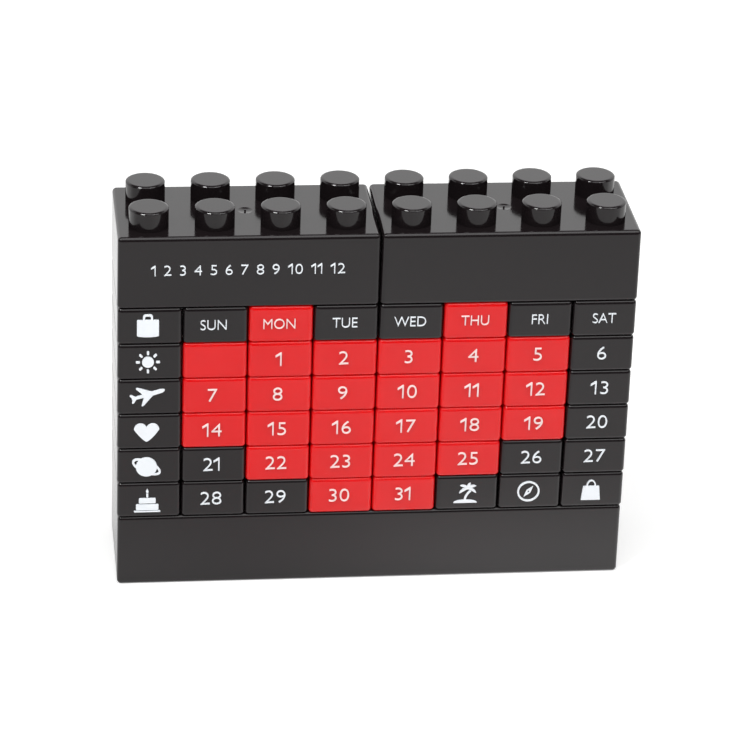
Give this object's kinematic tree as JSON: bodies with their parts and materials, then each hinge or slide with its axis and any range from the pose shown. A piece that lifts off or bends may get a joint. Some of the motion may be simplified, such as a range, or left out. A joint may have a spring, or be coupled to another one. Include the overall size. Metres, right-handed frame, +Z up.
{
  "type": "brick-built perpetual desk calendar",
  "caption": "Free-standing perpetual desk calendar stacked from studded bricks: long base block, grid of re-arrangeable half-height tiles, two studded header blocks.",
  "frame": {"origin": "centre of the base block's footprint, on the surface it stands on", "axes": "+X to the right along the face, +Y away from the viewer towards the back, +Z up along the studs"},
  "size_m": [0.1278, 0.0318, 0.1005],
  "materials": {
    "black_plastic": "glossy moulded, black",
    "red_plastic": "glossy moulded, red",
    "white_marking": "raised figures, cool white"
  },
  "bodies": {
    "base_block": {"base_block": "black_plastic"},
    "marker_suitcase": {"marker_suitcase": "black_plastic"},
    "weekday_sunday": {"weekday_sunday": "black_plastic"},
    "weekday_monday": {"weekday_monday": "red_plastic"},
    "weekday_tuesday": {"weekday_tuesday": "black_plastic"},
    "weekday_wednesday": {"weekday_wednesday": "black_plastic"},
    "weekday_thursday": {"weekday_thursday": "red_plastic"},
    "weekday_friday": {"weekday_friday": "black_plastic"},
    "weekday_saturday": {"weekday_saturday": "black_plastic"},
    "marker_sun": {"marker_sun": "black_plastic"},
    "blank_tile": {"blank_tile": "red_plastic"},
    "date_01": {"date_01": "red_plastic"},
    "date_02": {"date_02": "red_plastic"},
    "date_03": {"date_03": "red_plastic"},
    "date_04": {"date_04": "red_plastic"},
    "date_05": {"date_05": "red_plastic"},
    "date_06": {"date_06": "black_plastic"},
    "marker_plane": {"marker_plane": "black_plastic"},
    "date_07": {"date_07": "red_plastic"},
    "date_08": {"date_08": "red_plastic"},
    "date_09": {"date_09": "red_plastic"},
    "date_10": {"date_10": "red_plastic"},
    "date_11": {"date_11": "red_plastic"},
    "date_12": {"date_12": "red_plastic"},
    "date_13": {"date_13": "black_plastic"},
    "marker_heart": {"marker_heart": "black_plastic"},
    "date_14": {"date_14": "red_plastic"},
    "date_15": {"date_15": "red_plastic"},
    "date_16": {"date_16": "red_plastic"},
    "date_17": {"date_17": "red_plastic"},
    "date_18": {"date_18": "red_plastic"},
    "date_19": {"date_19": "red_plastic"},
    "date_20": {"date_20": "black_plastic"},
    "marker_planet": {"marker_planet": "black_plastic"},
    "date_21": {"date_21": "black_plastic"},
    "date_22": {"date_22": "red_plastic"},
    "date_23": {"date_23": "red_plastic"},
    "date_24": {"date_24": "red_plastic"},
    "date_25": {"date_25": "red_plastic"},
    "date_26": {"date_26": "black_plastic"},
    "date_27": {"date_27": "black_plastic"},
    "marker_cake": {"marker_cake": "black_plastic"},
    "date_28": {"date_28": "black_plastic"},
    "date_29": {"date_29": "black_plastic"},
    "date_30": {"date_30": "red_plastic"},
    "date_31": {"date_31": "red_plastic"},
    "marker_palm": {"marker_palm": "black_plastic"},
    "marker_compass": {"marker_compass": "black_plastic"},
    "marker_bag": {"marker_bag": "black_plastic"},
    "header_left": {"header_left": "black_plastic"},
    "header_right": {"header_right": "black_plastic"}
  },
  "joints": [
    {"name": "marker_cake_lift", "type": "slide", "parent": "base_block", "child": "marker_cake", "axis": [0, 0, 1], "range_m": [0, 0.012]},
    {"name": "marker_planet_lift", "type": "slide", "parent": "marker_cake", "child": "marker_planet", "axis": [0, 0, 1], "range_m": [0, 0.012]},
    {"name": "marker_heart_lift", "type": "slide", "parent": "marker_planet", "child": "marker_heart", "axis": [0, 0, 1], "range_m": [0, 0.012]},
    {"name": "marker_plane_lift", "type": "slide", "parent": "marker_heart", "child": "marker_plane", "axis": [0, 0, 1], "range_m": [0, 0.012]},
    {"name": "marker_sun_lift", "type": "slide", "parent": "marker_plane", "child": "marker_sun", "axis": [0, 0, 1], "range_m": [0, 0.012]},
    {"name": "marker_suitcase_lift", "type": "slide", "parent": "marker_sun", "child": "marker_suitcase", "axis": [0, 0, 1], "range_m": [0, 0.012]},
    {"name": "date_28_lift", "type": "slide", "parent": "base_block", "child": "date_28", "axis": [0, 0, 1], "range_m": [0, 0.012]},
    {"name": "date_21_lift", "type": "slide", "parent": "date_28", "child": "date_21", "axis": [0, 0, 1], "range_m": [0, 0.012]},
    {"name": "date_14_lift", "type": "slide", "parent": "date_21", "child": "date_14", "axis": [0, 0, 1], "range_m": [0, 0.012]},
    {"name": "date_07_lift", "type": "slide", "parent": "date_14", "child": "date_07", "axis": [0, 0, 1], "range_m": [0, 0.012]},
    {"name": "blank_tile_lift", "type": "slide", "parent": "date_07", "child": "blank_tile", "axis": [0, 0, 1], "range_m": [0, 0.012]},
    {"name": "weekday_sunday_lift", "type": "slide", "parent": "blank_tile", "child": "weekday_sunday", "axis": [0, 0, 1], "range_m": [0, 0.012]},
    {"name": "date_29_lift", "type": "slide", "parent": "base_block", "child": "date_29", "axis": [0, 0, 1], "range_m": [0, 0.012]},
    {"name": "date_22_lift", "type": "slide", "parent": "date_29", "child": "date_22", "axis": [0, 0, 1], "range_m": [0, 0.012]},
    {"name": "date_15_lift", "type": "slide", "parent": "date_22", "child": "date_15", "axis": [0, 0, 1], "range_m": [0, 0.012]},
    {"name": "date_08_lift", "type": "slide", "parent": "date_15", "child": "date_08", "axis": [0, 0, 1], "range_m": [0, 0.012]},
    {"name": "date_01_lift", "type": "slide", "parent": "date_08", "child": "date_01", "axis": [0, 0, 1], "range_m": [0, 0.012]},
    {"name": "weekday_monday_lift", "type": "slide", "parent": "date_01", "child": "weekday_monday", "axis": [0, 0, 1], "range_m": [0, 0.012]},
    {"name": "date_30_lift", "type": "slide", "parent": "base_block", "child": "date_30", "axis": [0, 0, 1], "range_m": [0, 0.012]},
    {"name": "date_23_lift", "type": "slide", "parent": "date_30", "child": "date_23", "axis": [0, 0, 1], "range_m": [0, 0.012]},
    {"name": "date_16_lift", "type": "slide", "parent": "date_23", "child": "date_16", "axis": [0, 0, 1], "range_m": [0, 0.012]},
    {"name": "date_09_lift", "type": "slide", "parent": "date_16", "child": "date_09", "axis": [0, 0, 1], "range_m": [0, 0.012]},
    {"name": "date_02_lift", "type": "slide", "parent": "date_09", "child": "date_02", "axis": [0, 0, 1], "range_m": [0, 0.012]},
    {"name": "weekday_tuesday_lift", "type": "slide", "parent": "date_02", "child": "weekday_tuesday", "axis": [0, 0, 1], "range_m": [0, 0.012]},
    {"name": "date_31_lift", "type": "slide", "parent": "base_block", "child": "date_31", "axis": [0, 0, 1], "range_m": [0, 0.012]},
    {"name": "date_24_lift", "type": "slide", "parent": "date_31", "child": "date_24", "axis": [0, 0, 1], "range_m": [0, 0.012]},
    {"name": "date_17_lift", "type": "slide", "parent": "date_24", "child": "date_17", "axis": [0, 0, 1], "range_m": [0, 0.012]},
    {"name": "date_10_lift", "type": "slide", "parent": "date_17", "child": "date_10", "axis": [0, 0, 1], "range_m": [0, 0.012]},
    {"name": "date_03_lift", "type": "slide", "parent": "date_10", "child": "date_03", "axis": [0, 0, 1], "range_m": [0, 0.012]},
    {"name": "weekday_wednesday_lift", "type": "slide", "parent": "date_03", "child": "weekday_wednesday", "axis": [0, 0, 1], "range_m": [0, 0.012]},
    {"name": "marker_palm_lift", "type": "slide", "parent": "base_block", "child": "marker_palm", "axis": [0, 0, 1], "range_m": [0, 0.012]},
    {"name": "date_25_lift", "type": "slide", "parent": "marker_palm", "child": "date_25", "axis": [0, 0, 1], "range_m": [0, 0.012]},
    {"name": "date_18_lift", "type": "slide", "parent": "date_25", "child": "date_18", "axis": [0, 0, 1], "range_m": [0, 0.012]},
    {"name": "date_11_lift", "type": "slide", "parent": "date_18", "child": "date_11", "axis": [0, 0, 1], "range_m": [0, 0.012]},
    {"name": "date_04_lift", "type": "slide", "parent": "date_11", "child": "date_04", "axis": [0, 0, 1], "range_m": [0, 0.012]},
    {"name": "weekday_thursday_lift", "type": "slide", "parent": "date_04", "child": "weekday_thursday", "axis": [0, 0, 1], "range_m": [0, 0.012]},
    {"name": "marker_compass_lift", "type": "slide", "parent": "base_block", "child": "marker_compass", "axis": [0, 0, 1], "range_m": [0, 0.012]},
    {"name": "date_26_lift", "type": "slide", "parent": "marker_compass", "child": "date_26", "axis": [0, 0, 1], "range_m": [0, 0.012]},
    {"name": "date_19_lift", "type": "slide", "parent": "date_26", "child": "date_19", "axis": [0, 0, 1], "range_m": [0, 0.012]},
    {"name": "date_12_lift", "type": "slide", "parent": "date_19", "child": "date_12", "axis": [0, 0, 1], "range_m": [0, 0.012]},
    {"name": "date_05_lift", "type": "slide", "parent": "date_12", "child": "date_05", "axis": [0, 0, 1], "range_m": [0, 0.012]},
    {"name": "weekday_friday_lift", "type": "slide", "parent": "date_05", "child": "weekday_friday", "axis": [0, 0, 1], "range_m": [0, 0.012]},
    {"name": "marker_bag_lift", "type": "slide", "parent": "base_block", "child": "marker_bag", "axis": [0, 0, 1], "range_m": [0, 0.012]},
    {"name": "date_27_lift", "type": "slide", "parent": "marker_bag", "child": "date_27", "axis": [0, 0, 1], "range_m": [0, 0.012]},
    {"name": "date_20_lift", "type": "slide", "parent": "date_27", "child": "date_20", "axis": [0, 0, 1], "range_m": [0, 0.012]},
    {"name": "date_13_lift", "type": "slide", "parent": "date_20", "child": "date_13", "axis": [0, 0, 1], "range_m": [0, 0.012]},
    {"name": "date_06_lift", "type": "slide", "parent": "date_13", "child": "date_06", "axis": [0, 0, 1], "range_m": [0, 0.012]},
    {"name": "weekday_saturday_lift", "type": "slide", "parent": "date_06", "child": "weekday_saturday", "axis": [0, 0, 1], "range_m": [0, 0.012]},
    {"name": "header_left_lift", "type": "slide", "parent": "marker_suitcase", "child": "header_left", "axis": [0, 0, 1], "range_m": [0, 0.03]},
    {"name": "header_right_lift", "type": "slide", "parent": "weekday_wednesday", "child": "header_right", "axis": [0, 0, 1], "range_m": [0, 0.03]}
  ],
  "couplings": [
    {"joint": "date_28_lift", "follows": "marker_cake_lift", "ratio": 1},
    {"joint": "date_21_lift", "follows": "marker_planet_lift", "ratio": 1},
    {"joint": "date_14_lift", "follows": "marker_heart_lift", "ratio": 1},
    {"joint": "date_07_lift", "follows": "marker_plane_lift", "ratio": 1},
    {"joint": "blank_tile_lift", "follows": "marker_sun_lift", "ratio": 1},
    {"joint": "weekday_sunday_lift", "follows": "marker_suitcase_lift", "ratio": 1},
    {"joint": "date_29_lift", "follows": "marker_cake_lift", "ratio": 1},
    {"joint": "date_22_lift", "follows": "marker_planet_lift", "ratio": 1},
    {"joint": "date_15_lift", "follows": "marker_heart_lift", "ratio": 1},
    {"joint": "date_08_lift", "follows": "marker_plane_lift", "ratio": 1},
    {"joint": "date_01_lift", "follows": "marker_sun_lift", "ratio": 1},
    {"joint": "weekday_monday_lift", "follows": "marker_suitcase_lift", "ratio": 1},
    {"joint": "date_30_lift", "follows": "marker_cake_lift", "ratio": 1},
    {"joint": "date_23_lift", "follows": "marker_planet_lift", "ratio": 1},
    {"joint": "date_16_lift", "follows": "marker_heart_lift", "ratio": 1},
    {"joint": "date_09_lift", "follows": "marker_plane_lift", "ratio": 1},
    {"joint": "date_02_lift", "follows": "marker_sun_lift", "ratio": 1},
    {"joint": "weekday_tuesday_lift", "follows": "marker_suitcase_lift", "ratio": 1},
    {"joint": "marker_palm_lift", "follows": "date_31_lift", "ratio": 1},
    {"joint": "date_25_lift", "follows": "date_24_lift", "ratio": 1},
    {"joint": "date_18_lift", "follows": "date_17_lift", "ratio": 1},
    {"joint": "date_11_lift", "follows": "date_10_lift", "ratio": 1},
    {"joint": "date_04_lift", "follows": "date_03_lift", "ratio": 1},
    {"joint": "weekday_thursday_lift", "follows": "weekday_wednesday_lift", "ratio": 1},
    {"joint": "marker_compass_lift", "follows": "date_31_lift", "ratio": 1},
    {"joint": "date_26_lift", "follows": "date_24_lift", "ratio": 1},
    {"joint": "date_19_lift", "follows": "date_17_lift", "ratio": 1},
    {"joint": "date_12_lift", "follows": "date_10_lift", "ratio": 1},
    {"joint": "date_05_lift", "follows": "date_03_lift", "ratio": 1},
    {"joint": "weekday_friday_lift", "follows": "weekday_wednesday_lift", "ratio": 1},
    {"joint": "marker_bag_lift", "follows": "date_31_lift", "ratio": 1},
    {"joint": "date_27_lift", "follows": "date_24_lift", "ratio": 1},
    {"joint": "date_20_lift", "follows": "date_17_lift", "ratio": 1},
    {"joint": "date_13_lift", "follows": "date_10_lift", "ratio": 1},
    {"joint": "date_06_lift", "follows": "date_03_lift", "ratio": 1},
    {"joint": "weekday_saturday_lift", "follows": "weekday_wednesday_lift", "ratio": 1}
  ]
}
